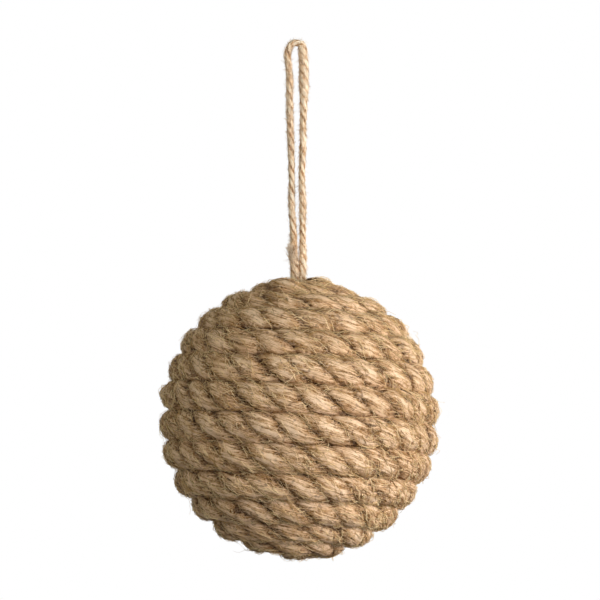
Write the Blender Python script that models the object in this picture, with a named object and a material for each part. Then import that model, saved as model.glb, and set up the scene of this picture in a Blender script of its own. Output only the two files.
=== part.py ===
"""Hanging rope ball: jute rope wound round a foam ball and hung from a loop of twine.

Metres, +Z up. The origin is the point inside the top of the loop that bears on the hook.
"""

import math

import bmesh
import bpy
from mathutils import Vector

MM = 0.001

# Foam core
CORE_DIAMETER = 80.0 * MM
CORE_SEGMENTS = 48
CORE_RINGS = 32

# Rope, 10 mm jute that draws down a little as it is wound tight
ROPE_DIAMETER = 9.5 * MM
TURN_GAP_TOP = 0.45 * MM
TURN_GAP_BOTTOM = 1.0 * MM
POINTS_PER_TURN = 24
START_AZIMUTH = math.radians(-90.0)
START_LEAN = 0.6 * MM
END_HOLE = 1.65 * MM
END_LEAN = 3.4 * MM
TUCK_INSIDE = 3.25 * MM
TUCK_STEPS = 6
LEAST_TURN_GAP = 0.4 * MM

# Twine of the hanging loop
TWINE_DIAMETER = 2.5 * MM
LOOP_DROP = 68.3 * MM
LOOP_STEPS = 3
NECK_LENGTH = 15.0 * MM
NECK_SPACING = 2.3 * MM
NECK_REACH = 5.0 * MM
MOUTH_RISE = 1.1 * MM
TAIL_SPACING = 2.8 * MM

# Overhand knot at the foot of the tails
KNOT_RADIUS = 5.0 * MM
KNOT_HEIGHT = 5.2 * MM
KNOT_START = 0.02
KNOT_SHARE = 0.9
KNOT_POINTS = 40

# Hot-melt glue
BEAD_DIAMETER = 2.0 * MM
PLUG_LENGTH = 11.0 * MM

# Clearance between pieces that touch
SEAT_GAP = 0.3 * MM
BORE_SIDES = 32

# Route of the loop's twine in (x, y, z) millimetres, from the left leg's foot over the
# top to the right leg's foot. The top is flattened and its right shoulder is squarer.
LOOP_ROUTE_MM = (
    (-1.4, 0.0, -68.3),
    (-1.6, 0.1, -65.8),
    (-2.3, 0.3, -59.3),
    (-2.5, 0.4, -48.6),
    (-2.5, 0.3, -37.8),
    (-2.9, 0.0, -27.1),
    (-3.0, -0.2, -18.5),
    (-3.2, -0.3, -9.9),
    (-3.6, -0.2, -3.4),
    (-3.2, -0.1, -0.5),
    (-1.8, 0.0, 1.0),
    (-0.2, 0.0, 1.25),
    (1.3, 0.1, 0.9),
    (2.1, 0.2, -0.9),
    (2.0, 0.3, -3.8),
    (2.0, 0.3, -9.9),
    (2.0, 0.2, -18.5),
    (1.8, 0.0, -27.1),
    (1.6, -0.2, -37.8),
    (1.3, -0.3, -48.6),
    (1.5, -0.2, -59.3),
    (1.5, -0.1, -65.8),
    (1.4, 0.0, -68.3),
)

# Sizes that follow from the ones above
CORE_RADIUS = CORE_DIAMETER / 2
ROPE_RADIUS = ROPE_DIAMETER / 2
TWINE_RADIUS = TWINE_DIAMETER / 2
START_RADIUS = ROPE_RADIUS + TWINE_RADIUS + SEAT_GAP + START_LEAN
END_RADIUS = ROPE_RADIUS + END_HOLE
TUCK_BEND = ROPE_RADIUS + TUCK_INSIDE
SEAT_RADIUS = CORE_RADIUS + SEAT_GAP + ROPE_RADIUS
PATH_RADIUS = SEAT_RADIUS / math.cos(math.pi / POINTS_PER_TURN)
NECK_TOP = -LOOP_DROP - SEAT_GAP
MOUTH_HEIGHT = NECK_TOP - NECK_LENGTH
BALL_CENTRE = Vector((0, 0, MOUTH_HEIGHT - MOUTH_RISE - SEAT_RADIUS - ROPE_RADIUS))
NECK_FOOT = MOUTH_HEIGHT - NECK_REACH
BORE_RADIUS = KNOT_RADIUS + TWINE_DIAMETER / 2 + SEAT_GAP
SOCKET_FLOOR = math.sqrt(PATH_RADIUS**2 - START_RADIUS**2) - TUCK_BEND - ROPE_DIAMETER - SEAT_GAP
PLUG_TOP = SOCKET_FLOOR - SEAT_GAP
KNOT_CENTRE = PLUG_TOP - PLUG_LENGTH - SEAT_GAP - KNOT_HEIGHT / 2 - TWINE_DIAMETER / 2
BORE_FLOOR = KNOT_CENTRE - KNOT_HEIGHT / 2 - TWINE_DIAMETER / 2 - SEAT_GAP


def pitch_angle(gap):
    """Polar angle from one turn to the next, for a gap between the two."""
    return 2 * math.asin((ROPE_DIAMETER + gap) / (2 * PATH_RADIUS))


def polar_angle(turn):
    """Angle down from the top, counted in turns from the equator. Tight above, slack below."""
    top = pitch_angle(TURN_GAP_TOP)
    bottom = pitch_angle(TURN_GAP_BOTTOM)
    bend = math.hypot(turn, 1.0) - 1.0
    return math.pi / 2 + (top + bottom) / 2 * turn + (bottom - top) / 2 * bend


def turn_at(angle):
    """The turn at which the winding passes a polar angle, by halving."""
    low = -60.0
    high = 60.0
    for _ in range(60):
        middle = (low + high) / 2
        if polar_angle(middle) < angle:
            low = middle
        else:
            high = middle
    return (low + high) / 2


FIRST_TURN = turn_at(math.asin(START_RADIUS / SEAT_RADIUS))
LAST_TURN = turn_at(math.pi - math.asin(END_RADIUS / SEAT_RADIUS))


def on_ball(turn, radius, shift=0.0, lean=0.0):
    """A point over the core at a turn of the winding.

    shift moves it by a part of a turn's step, and lean moves it in towards the ball's axis.
    """
    down = polar_angle(turn + shift)
    around = START_AZIMUTH + 2 * math.pi * (turn - FIRST_TURN)
    flat = radius * math.sin(down) - lean
    side = Vector((flat * math.cos(around), flat * math.sin(around), radius * math.cos(down)))
    return BALL_CENTRE + side


def tuck(first, polar_radius, lean, side):
    """Points of a rope end: upright out of its socket, then bent over to lie on the core.

    lean is how far the upright leg stands in from the spiral, towards the ball's axis, and
    side is 1 for the end at the top of the ball and -1 for the one at the bottom.
    """
    inward = Vector((0, 0, -side))
    foot = on_ball(first, PATH_RADIUS, lean=lean) + inward * TUCK_BEND
    points = [foot + inward * ROPE_DIAMETER, foot + inward * ROPE_DIAMETER / 2]
    for step in range(TUCK_STEPS + 1):
        angle = math.pi / 2 * step / TUCK_STEPS
        along = TUCK_BEND * (1 - math.cos(angle)) / (2 * math.pi * polar_radius)
        drop = TUCK_BEND * (1 - math.sin(angle))
        into = lean * math.cos(angle)
        points.append(on_ball(first + side * along, PATH_RADIUS, lean=into) + inward * drop)
    return points


def winding_points():
    """The rope's centreline from the top socket, round the core, to the bottom socket."""
    start = tuck(FIRST_TURN, START_RADIUS, START_LEAN, 1)
    end = tuck(LAST_TURN, END_RADIUS, END_LEAN, -1)
    first = FIRST_TURN + TUCK_BEND / (2 * math.pi * START_RADIUS)
    last = LAST_TURN - TUCK_BEND / (2 * math.pi * END_RADIUS)
    count = round((last - first) * POINTS_PER_TURN)
    middle = [
        on_ball(first + (last - first) * i / count, PATH_RADIUS) for i in range(1, count)
    ]
    return start + middle + end[::-1]


def bead_points():
    """The glue bead's centreline, in the valley halfway between one turn and the next."""
    radius = (CORE_RADIUS + SEAT_GAP + BEAD_DIAMETER / 2) / math.cos(math.pi / POINTS_PER_TURN)
    first = FIRST_TURN + 0.5
    last = LAST_TURN - 1.5
    count = round((last - first) * POINTS_PER_TURN)
    return [on_ball(first + (last - first) * i / count, radius, 0.5) for i in range(count + 1)]


def least_gap(points, diameter):
    """The least gap between a tube and itself, measured between points a bend apart."""
    run = [0.0]
    for a, b in zip(points, points[1:]):
        run.append(run[-1] + (b - a).length)
    least = math.inf
    for i, a in enumerate(points):
        for j in range(i + 1, len(points)):
            if run[j] - run[i] > 2 * diameter:
                least = min(least, (points[j] - a).length)
    return least - diameter


def smooth_points(route, steps):
    """Points read from a Catmull-Rom curve through the route's own points."""
    route = [Vector(p) for p in route]
    ends = [2 * route[0] - route[1]] + route + [2 * route[-1] - route[-2]]
    points = []
    for a, b, c, d in zip(ends, ends[1:], ends[2:], ends[3:]):
        for step in range(steps):
            t = step / steps
            points.append(
                0.5
                * (
                    2 * b
                    + (c - a) * t
                    + (2 * a - 5 * b + 4 * c - d) * t**2
                    + (3 * b - a - 3 * c + d) * t**3
                )
            )
    return points + [route[-1]]


def knot_points():
    """An overhand knot: a trefoil left open at its top, where its end comes up to the tails."""
    scale = KNOT_RADIUS / 3
    points = []
    for i in range(KNOT_POINTS + 1):
        t = 2 * math.pi * (KNOT_START + KNOT_SHARE * i / KNOT_POINTS)
        points.append(
            Vector(
                (
                    scale * (math.sin(t) + 2 * math.sin(2 * t)),
                    scale * (math.cos(t) - 2 * math.cos(2 * t)),
                    BALL_CENTRE.z + KNOT_CENTRE - KNOT_HEIGHT / 2 * math.sin(3 * t),
                )
            )
        )
    return points


def material(name, colour, roughness):
    """A plain material with a linear colour."""
    made = bpy.data.materials.new(name)
    made.use_nodes = True
    shader = made.node_tree.nodes["Principled BSDF"]
    shader.inputs["Base Color"].default_value = (*colour, 1.0)
    shader.inputs["Roughness"].default_value = roughness
    shader.inputs["Metallic"].default_value = 0.0
    return made


def place(name, data, finish):
    """Put a mesh or curve in the scene as a named object with its material."""
    obj = bpy.data.objects.new(name, data)
    bpy.context.scene.collection.objects.link(obj)
    if finish:
        data.materials.append(finish)
    return obj


def tube(name, points, diameter, sides_level, finish=None):
    """A round tube with filled ends along points."""
    curve = bpy.data.curves.new(name, "CURVE")
    curve.dimensions = "3D"
    curve.bevel_depth = diameter / 2
    curve.bevel_resolution = sides_level
    curve.use_fill_caps = True
    curve.twist_mode = "MINIMUM"
    spline = curve.splines.new("POLY")
    spline.points.add(len(points) - 1)
    for point, place_at in zip(spline.points, points):
        point.co = (*place_at, 1.0)
    spline.use_smooth = True
    return place(name, curve, finish)


def cylinder(name, radius, low, high, finish=None, at=(0.0, 0.0)):
    """An upright cylinder between two heights over the ball's centre."""
    shape = bmesh.new()
    bmesh.ops.create_cone(
        shape,
        cap_ends=True,
        segments=BORE_SIDES,
        radius1=radius,
        radius2=radius,
        depth=high - low,
    )
    centre = BALL_CENTRE + Vector((at[0], at[1], (low + high) / 2))
    bmesh.ops.translate(shape, verts=shape.verts, vec=centre)
    mesh = bpy.data.meshes.new(name)
    shape.to_mesh(mesh)
    shape.free()
    mesh.shade_smooth()
    mesh.set_sharp_from_angle(angle=math.radians(40))
    return place(name, mesh, finish)


def as_mesh(obj):
    """The same object as a mesh, because a curve can't cut or be united."""
    depsgraph = bpy.context.evaluated_depsgraph_get()
    mesh = bpy.data.meshes.new_from_object(obj.evaluated_get(depsgraph))
    name = obj.name
    bpy.data.objects.remove(obj)
    mesh.name = name
    return place(name, mesh, None)


def join_in(obj, other, operation):
    """Cut another shape from an object, or unite it with the object."""
    modifier = obj.modifiers.new(other.name, "BOOLEAN")
    modifier.operation = operation
    modifier.solver = "EXACT"
    modifier.object = other
    other.hide_render = True
    other.display_type = "WIRE"


def make_core(finish):
    """The foam ball with its bore and the two sockets for the rope's ends."""
    shape = bmesh.new()
    bmesh.ops.create_uvsphere(
        shape, u_segments=CORE_SEGMENTS, v_segments=CORE_RINGS, radius=CORE_RADIUS
    )
    bmesh.ops.translate(shape, verts=shape.verts, vec=BALL_CENTRE)
    mesh = bpy.data.meshes.new("foam_core")
    shape.to_mesh(mesh)
    shape.free()
    mesh.shade_smooth()
    core = place("foam_core", mesh, finish)
    join_in(core, cylinder("bore_cutter", BORE_RADIUS, BORE_FLOOR, CORE_DIAMETER), "DIFFERENCE")
    for name, turn, polar_radius, lean, side in (
        ("top_socket_cutter", FIRST_TURN, START_RADIUS, START_LEAN, 1),
        ("bottom_socket_cutter", LAST_TURN, END_RADIUS, END_LEAN, -1),
    ):
        points = tuck(turn, polar_radius, lean, side)
        down = (points[0] - points[1]).normalized() * SEAT_GAP
        ahead = points[-1] - points[-2]
        away = (points[-1] - BALL_CENTRE).normalized() * ROPE_RADIUS
        route = [points[0] + down] + points[1:] + [points[-1] + ahead + away]
        cutter = as_mesh(tube(name, route, ROPE_DIAMETER + 2 * SEAT_GAP, 4))
        join_in(core, cutter, "DIFFERENCE")
    return core


def make_loop(finish):
    """The free loop of twine, from the left leg's foot over the hook to the right leg's."""
    route = [Vector(p) * MM for p in LOOP_ROUTE_MM]
    return tube("hanging_loop", smooth_points(route, LOOP_STEPS), TWINE_DIAMETER, 2, finish)


def upright(name, x, low, high, finish=None):
    """A straight upright length of twine beside the ball's axis."""
    steps = max(2, round((high - low) / (3 * TWINE_DIAMETER)))
    points = [Vector((x, 0, high + (low - high) * i / steps)) for i in range(steps + 1)]
    return tube(name, points, TWINE_DIAMETER, 2, finish)


def make_neck(finish):
    """The two legs pressed into one, from the loop's foot down into the ball's mouth."""
    neck = as_mesh(upright("loop_neck", -NECK_SPACING / 2, NECK_FOOT, NECK_TOP, finish))
    other = as_mesh(upright("neck_other_leg", NECK_SPACING / 2, NECK_FOOT, NECK_TOP))
    join_in(neck, other, "UNION")
    return neck


def make_tails(finish):
    """The two tails in the bore with the overhand knot that stops them."""
    top = NECK_FOOT - SEAT_GAP
    knot_top = BALL_CENTRE.z + KNOT_CENTRE
    tails = as_mesh(upright("loop_tails", -TAIL_SPACING / 2, knot_top, top, finish))
    other = as_mesh(upright("other_tail", TAIL_SPACING / 2, knot_top, top))
    knot = as_mesh(tube("knot", knot_points(), TWINE_DIAMETER, 2))
    join_in(tails, knot, "UNION")
    join_in(tails, other, "UNION")
    return tails


def make_plug(finish):
    """The glue poured over the knot, with the two tails running up through it."""
    plug = cylinder("glue_plug", BORE_RADIUS - SEAT_GAP, PLUG_TOP - PLUG_LENGTH, PLUG_TOP, finish)
    hole = TWINE_RADIUS + SEAT_GAP
    for name, side in (("left_tail_cutter", -1), ("right_tail_cutter", 1)):
        x = side * TAIL_SPACING / 2
        cutter = cylinder(name, hole, PLUG_TOP - 2 * PLUG_LENGTH, PLUG_TOP + PLUG_LENGTH, at=(x, 0))
        join_in(plug, cutter, "DIFFERENCE")
    return plug


def main():
    for obj in list(bpy.data.objects):
        bpy.data.objects.remove(obj)

    foam = material("expanded_foam", (0.80, 0.79, 0.74), 0.9)
    rope = material("jute_rope", (0.36, 0.22, 0.11), 0.95)
    twine = material("jute_twine", (0.52, 0.35, 0.19), 0.95)
    glue = material("hot_melt_glue", (0.75, 0.68, 0.50), 0.45)

    make_core(foam)
    points = winding_points()
    tube("rope_winding", points, ROPE_DIAMETER, 1, rope)
    tube("glue_bead", bead_points(), BEAD_DIAMETER, 1, glue)
    make_loop(twine)
    make_neck(twine)
    make_tails(twine)
    make_plug(glue)

    gap = least_gap(points, ROPE_DIAMETER)
    turns = LAST_TURN - FIRST_TURN
    length = sum((b - a).length for a, b in zip(points, points[1:]))
    print(f"winding: {turns:.2f} turns, {length:.3f} m of rope, {len(points)} points")
    print(f"winding: least gap to itself {gap / MM:.3f} mm, wanted over {LEAST_TURN_GAP / MM} mm")


main()
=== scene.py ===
"""A hanging rope ball: its rope, twine, foam and glue as they look, lit and seen as photographed."""

import math

import bpy
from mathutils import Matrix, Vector, noise


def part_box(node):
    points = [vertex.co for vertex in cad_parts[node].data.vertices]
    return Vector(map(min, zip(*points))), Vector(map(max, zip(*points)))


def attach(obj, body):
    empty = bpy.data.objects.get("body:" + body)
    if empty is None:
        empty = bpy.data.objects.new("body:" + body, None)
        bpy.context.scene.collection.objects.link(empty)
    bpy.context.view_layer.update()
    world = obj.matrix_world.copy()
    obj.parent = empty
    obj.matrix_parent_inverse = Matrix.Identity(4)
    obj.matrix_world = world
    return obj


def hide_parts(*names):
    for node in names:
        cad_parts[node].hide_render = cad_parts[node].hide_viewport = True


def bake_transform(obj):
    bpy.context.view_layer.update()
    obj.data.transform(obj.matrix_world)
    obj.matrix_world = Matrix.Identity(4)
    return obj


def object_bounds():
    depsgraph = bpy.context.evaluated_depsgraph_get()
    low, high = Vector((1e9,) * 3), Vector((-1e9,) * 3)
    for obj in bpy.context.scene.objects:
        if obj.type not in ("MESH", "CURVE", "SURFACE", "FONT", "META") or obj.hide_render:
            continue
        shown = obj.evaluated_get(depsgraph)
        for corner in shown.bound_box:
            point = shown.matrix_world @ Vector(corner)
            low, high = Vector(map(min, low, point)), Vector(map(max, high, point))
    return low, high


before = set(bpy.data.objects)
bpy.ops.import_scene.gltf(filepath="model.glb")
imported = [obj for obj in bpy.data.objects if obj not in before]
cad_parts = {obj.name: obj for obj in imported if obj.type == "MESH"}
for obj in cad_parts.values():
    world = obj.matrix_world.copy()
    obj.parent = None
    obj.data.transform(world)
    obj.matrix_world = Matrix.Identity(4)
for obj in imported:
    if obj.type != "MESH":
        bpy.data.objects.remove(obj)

cad_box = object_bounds()

# The camera: a long lens straight in front of the ball and a little lower than its middle,
# tilted up so that the whole loop stands in the frame.
MM = 0.001
FRAME_WIDTH = 215.1 * MM
SENSOR_WIDTH = 36.0
CAMERA_DISTANCE = 1.2
CAMERA_BELOW = math.radians(2.0)
AIM = Vector((0.35, 0.0, -91.6)) * MM

core_low, core_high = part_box("foam_core")
CORE_RADIUS = (core_high.x - core_low.x) / 2
BALL_CENTRE = Vector((0, 0, core_low.z + CORE_RADIUS))

scene = bpy.context.scene
camera = bpy.data.objects.new("camera", bpy.data.cameras.new("camera"))
scene.collection.objects.link(camera)
camera_height = BALL_CENTRE.z - CAMERA_DISTANCE * math.tan(CAMERA_BELOW)
camera.location = (AIM.x, -CAMERA_DISTANCE, camera_height)
sight = AIM - camera.location
camera.rotation_mode = "QUATERNION"
camera.rotation_quaternion = sight.to_track_quat("-Z", "Y")
camera.data.sensor_width = SENSOR_WIDTH
camera.data.lens = SENSOR_WIDTH * sight.length / FRAME_WIDTH
scene.camera = camera

# The hanging loop: jute twine, three thin yarns laid together left-handed, which goes up out
# of the ball, over the hook and down again. It is limp, and the ball's weight draws it straight.
TWINE_DIAMETER = 2.5 * MM
TWINE_YARNS = 3
TWINE_LAY = -11.5 * MM
TWINE_ROUNDNESS = 0.4
TWINE_DRAWN = 0.94
TWINE_STEPS = 12
LOOP_RINGS = 700
TOP_THICKER = 0.42
TOP_THICK_HEIGHT = -9.5 * MM
TOP_THICK_REACH = 12.0 * MM
LEFT_FOOT_THICKER = 0.4
RIGHT_FOOT_THICKER = 0.12
FOOT_THICK_HEIGHT = -82.0 * MM
FOOT_THICK_REACH = 7.0 * MM
NO_LIMIT = 1.0  # a metre, more than anything here
LOOP_ROUTE_MM = (
    (-1.95, 0.0, -68.3),
    (-2.15, 0.1, -65.8),
    (-2.55, 0.3, -59.3),
    (-2.7, 0.4, -48.6),
    (-2.85, 0.3, -37.8),
    (-3.25, 0.0, -27.1),
    (-3.3, -0.2, -18.5),
    (-3.55, -0.3, -9.9),
    (-4.0, -0.2, -3.6),
    (-3.7, -0.1, -0.8),
    (-2.7, 0.0, 0.8),
    (-1.4, 0.0, 1.3),
    (0.0, 0.1, 1.1),
    (1.0, 0.2, 0.3),
    (1.4, 0.3, -3.8),
    (1.75, 0.3, -9.9),
    (1.7, 0.2, -18.5),
    (1.5, 0.0, -27.1),
    (1.3, -0.2, -37.8),
    (1.05, -0.3, -48.6),
    (1.25, -0.2, -59.3),
    (1.3, -0.1, -65.8),
    (1.35, 0.0, -68.3),
)
LEFT_NECK_MM = ((-1.4, 0.0, -88.4), (-1.3, 0.0, -83.5), (-1.6, 0.0, -79.0), (-1.9, 0.0, -74.5))
RIGHT_NECK_MM = ((1.4, 0.0, -74.5), (1.3, 0.0, -79.0), (1.3, 0.0, -83.5), (1.4, 0.0, -88.4))


def linear(code):
    """A colour written as six sRGB hex digits, as linear red, green, blue and alpha."""
    parts = [int(code[i : i + 2], 16) / 255 for i in (0, 2, 4)]
    return [c / 12.92 if c <= 0.04045 else ((c + 0.055) / 1.055) ** 2.4 for c in parts] + [1.0]


# The kinds of node that the trees hold most of, and the ends of a range
MATH = "ShaderNodeMath"
VECTOR_MATH = "ShaderNodeVectorMath"
RANGE = ("From Min", "From Max", "To Min", "To Max")


def add(tree, kind, inputs=None, stops=(), **settings):
    """Add a node. An input is a value, a socket, or a node that stands for its first output.

    The stops of a colour ramp are pairs of a place and a colour.
    """
    node = tree.nodes.new(kind)
    for name, value in settings.items():
        setattr(node, name, value)
    for key, value in (inputs or {}).items():
        if isinstance(value, bpy.types.Node):
            value = next(socket for socket in value.outputs if socket.enabled)
        if isinstance(value, bpy.types.NodeSocket):
            tree.links.new(value, node.inputs[key])
        else:
            node.inputs[key].default_value = value
    for i, (place, code) in enumerate(stops):
        elements = node.color_ramp.elements
        element = elements[i] if i < len(elements) else elements.new(place)
        element.position = place
        element.color = linear(code)
    return node


def new_tree(name, **inputs):
    """A tree of Geometry Nodes with a geometry in and out, and named inputs of each kind."""
    tree = bpy.data.node_groups.new(name, "GeometryNodeTree")
    tree.interface.new_socket("Geometry", in_out="OUTPUT", socket_type="NodeSocketGeometry")
    for kind, labels in {"Geometry": ("Geometry",), **inputs}.items():
        for label in labels:
            tree.interface.new_socket(label, in_out="INPUT", socket_type="NodeSocket" + kind)
    return tree


def grown(name, data, tree, values):
    """The mesh that a tree makes on another mesh, as a plain object at the origin."""
    host = bpy.data.objects.new(name + "_host", data)
    scene.collection.objects.link(host)
    modifier = host.modifiers.new(tree.name, "NODES")
    modifier.node_group = tree
    for item in tree.interface.items_tree:
        if item.in_out == "INPUT" and item.name in values:
            modifier[item.identifier] = values[item.name]
    depsgraph = bpy.context.evaluated_depsgraph_get()
    mesh = bpy.data.meshes.new_from_object(host.evaluated_get(depsgraph))
    host.modifiers.remove(modifier)
    bpy.data.objects.remove(host)
    mesh.name = name
    piece = bpy.data.objects.new(name, mesh)
    scene.collection.objects.link(piece)
    return piece


# A laid strand: it fills a little more than its share of the round, its middle lies a quarter
# of the rope's width from the rope's, and its own fibres are twisted against the lay. Its lay
# and thickness vary along it, and each strand reads the noise at a place of its own.
STRAND_SHARE = 1.12
STRAND_MIDDLE = 0.25
STRAND_UNTWIST = 1.35
STRAND_APART = 7.3
FIBRES_APART = (0.0, 0.03, 0.05)
LAG_LENGTH = 31.25 * MM
LUMP_LENGTH = MM / 0.09  # 11 mm
RIDGE_STRETCH = 0.22
OUTER_SIDES = 0.4
LEAST_SLANT = 0.05
MERGED_WITHIN = 0.001 * MM

# Where strands are matted over, the seams between them don't show and get no painted shade.
# Elsewhere a seam gets painted shade, darker by how far the strand is pressed in there, in metres.
MATTED_SHARE = 0.3
PAINTED_SEAM_SHADE = 2600.0


def laid_tree():
    """Strands laid round a line, each a closed tube with the ridges of its own fibres.

    The strands press each other flat where they meet, and Roundness is the radius of their
    rounded outsides, as a share of the rope's width. Sway is how far the lay hurries and lags,
    in turns. Where the line's own attribute gives less room, the rope is pressed flat against
    its neighbours and against what it lies on.
    """
    tree = new_tree(
        "laid strands",
        Float=(
            "Start", "End", "Rope Diameter", "Roundness", "Lay", "Ridge Width", "Ridge Depth",
            "Lump Depth", "Sway", "Bed Depth", "Softness",
        ),
        Int=("Strands", "First", "Made", "Rings", "Sides"),
        Vector=("Centre",),
        Material=("Finish",),
    )
    given = add(tree, "NodeGroupInput").outputs

    # One grid for each strand, with the strand's number stored on it
    number = add(tree, MATH, {0: add(tree, "GeometryNodeInputIndex"), 1: given["First"]})
    seeds = add(tree, "GeometryNodePoints", {"Count": given["Made"]})
    seeds = add(
        tree, "GeometryNodeStoreNamedAttribute", {"Geometry": seeds, "Name": "strand", "Value": number}
    )
    grid = add(
        tree,
        "GeometryNodeMeshGrid",
        {"Size X": 1.0, "Size Y": 2.0, "Vertices X": given["Rings"], "Vertices Y": given["Sides"]},
    )
    grid = add(tree, "GeometryNodeFlipFaces", {"Mesh": grid})
    made = add(tree, "GeometryNodeInstanceOnPoints", {"Points": seeds, "Instance": grid})
    made = add(tree, "GeometryNodeRealizeInstances", {"Geometry": made})
    strand = add(tree, "GeometryNodeInputNamedAttribute", {"Name": "strand"})
    flat = add(tree, "ShaderNodeSeparateXYZ", {0: add(tree, "GeometryNodeInputPosition")})

    # Length along the line. The first ring and the last have no width, and close the tube
    steps = add(tree, MATH, {0: given["Rings"], 1: 1.0}, operation="SUBTRACT")
    step = add(tree, MATH, {0: 1.0, 1: steps}, operation="DIVIDE")
    low = add(tree, MATH, {0: step, 1: 0.5}, operation="SUBTRACT")
    high = add(tree, MATH, {0: 0.5, 1: step}, operation="SUBTRACT")
    length = add(
        tree,
        "ShaderNodeMapRange",
        {"Value": flat.outputs["X"], **dict(zip(RANGE, (low, high, given["Start"], given["End"])))},
    )
    edge = add(tree, MATH, {0: step, 1: -0.5, 2: 0.5}, operation="MULTIPLY_ADD")
    across = add(tree, MATH, {0: flat.outputs["X"]}, operation="ABSOLUTE")
    open_part = add(tree, MATH, {0: across, 1: edge}, operation="LESS_THAN")
    form = add(tree, "GeometryNodeInputNamedAttribute", {"Name": "form"}, data_type="FLOAT_VECTOR")
    path = add(
        tree,
        "GeometryNodeSampleCurve",
        {
            "Curves": add(tree, "GeometryNodeMeshToCurve", {"Mesh": given["Geometry"]}),
            "Value": form,
            "Length": length,
        },
        mode="LENGTH",
        data_type="FLOAT_VECTOR",
    )
    form = add(tree, "ShaderNodeSeparateXYZ", {0: path.outputs["Value"]})

    # The strand's turn about the line, which hurries and lags a little
    slow = add(tree, MATH, {0: strand, 1: STRAND_APART, 2: length}, operation="MULTIPLY_ADD")
    drift = add(
        tree,
        "ShaderNodeTexNoise",
        {"W": slow, "Scale": 1 / LAG_LENGTH, "Detail": 1.0},
        noise_dimensions="1D",
    )
    drift = add(tree, MATH, {0: drift, 1: 0.5}, operation="SUBTRACT")
    drift = add(tree, MATH, {0: drift, 1: given["Sway"]}, operation="MULTIPLY")
    laid = add(tree, MATH, {0: length, 1: given["Lay"]}, operation="DIVIDE")
    share = add(tree, MATH, {0: strand, 1: given["Strands"]}, operation="DIVIDE")
    laid = add(tree, MATH, {0: laid, 1: share})
    laid = add(tree, MATH, {0: laid, 1: drift})
    turned = add(tree, MATH, {0: laid, 1: math.tau}, operation="MULTIPLY")
    outward = add(
        tree,
        "ShaderNodeVectorRotate",
        {"Vector": path.outputs["Normal"], "Axis": path.outputs["Tangent"], "Angle": turned},
    )
    sideways = add(tree, VECTOR_MATH, {0: path.outputs["Tangent"], 1: outward}, operation="CROSS_PRODUCT")
    rope = add(tree, MATH, {0: given["Rope Diameter"], 1: form.outputs["Y"]}, operation="MULTIPLY")
    offset = add(tree, MATH, {0: rope, 1: STRAND_MIDDLE}, operation="MULTIPLY")
    slope = add(tree, MATH, {0: offset, 1: given["Lay"]}, operation="DIVIDE")
    slope = add(tree, MATH, {0: slope, 1: math.tau}, operation="MULTIPLY")
    heading = add(
        tree, VECTOR_MATH, {0: sideways, 1: slope, 2: path.outputs["Tangent"]}, operation="MULTIPLY_ADD"
    )

    # Angle round the strand, from 0 at its outside, with more sides there than inside
    bend = add(tree, MATH, {0: flat.outputs["Y"], 1: flat.outputs["Y"]}, operation="MULTIPLY")
    bend = add(tree, MATH, {0: bend, 1: OUTER_SIDES, 2: 1 - OUTER_SIDES}, operation="MULTIPLY_ADD")
    around = add(tree, MATH, {0: flat.outputs["Y"], 1: math.pi}, operation="MULTIPLY")
    around = add(tree, MATH, {0: around, 1: bend}, operation="MULTIPLY")
    crown = add(tree, MATH, {0: around}, operation="COSINE")
    spoke = add(tree, "ShaderNodeVectorRotate", {"Vector": outward, "Axis": heading, "Angle": around})

    # The strand's own fibres turn the other way, and so lie nearly along the rope on its outside
    untwist = add(tree, MATH, {0: STRAND_UNTWIST * math.tau, 1: given["Lay"]}, operation="DIVIDE")
    twist = add(tree, MATH, {0: length, 1: untwist, 2: around}, operation="MULTIPLY_ADD")
    fibre = add(tree, "ShaderNodeCombineXYZ", {"X": length, "Y": offset})
    fibre = add(tree, "ShaderNodeVectorRotate", {"Vector": fibre, "Angle": twist}, rotation_type="X_AXIS")
    apart = add(tree, VECTOR_MATH, {0: strand, 1: FIBRES_APART}, operation="MULTIPLY")
    fibre = add(tree, VECTOR_MATH, {0: fibre, 1: apart})

    # Thick and thin stretches, and ridges that run with the fibres
    stretched = add(tree, VECTOR_MATH, {0: fibre, 1: (RIDGE_STRETCH, 1.0, 1.0)}, operation="MULTIPLY")
    fineness = add(tree, MATH, {0: 1.0, 1: given["Ridge Width"]}, operation="DIVIDE")
    ridge = add(tree, "ShaderNodeTexNoise", {"Vector": stretched, "Scale": fineness, "Detail": 2.0})
    ridge = add(tree, MATH, {0: ridge, 1: 0.5}, operation="SUBTRACT")
    ridge = add(tree, MATH, {0: ridge, 1: given["Ridge Depth"]}, operation="MULTIPLY")
    lump = add(
        tree,
        "ShaderNodeTexNoise",
        {"W": slow, "Scale": 1 / LUMP_LENGTH, "Detail": 1.0},
        noise_dimensions="1D",
    )
    lump = add(tree, MATH, {0: lump, 1: 0.5}, operation="SUBTRACT")
    lump = add(tree, MATH, {0: lump, 1: given["Lump Depth"], 2: ridge}, operation="MULTIPLY_ADD")

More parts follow.
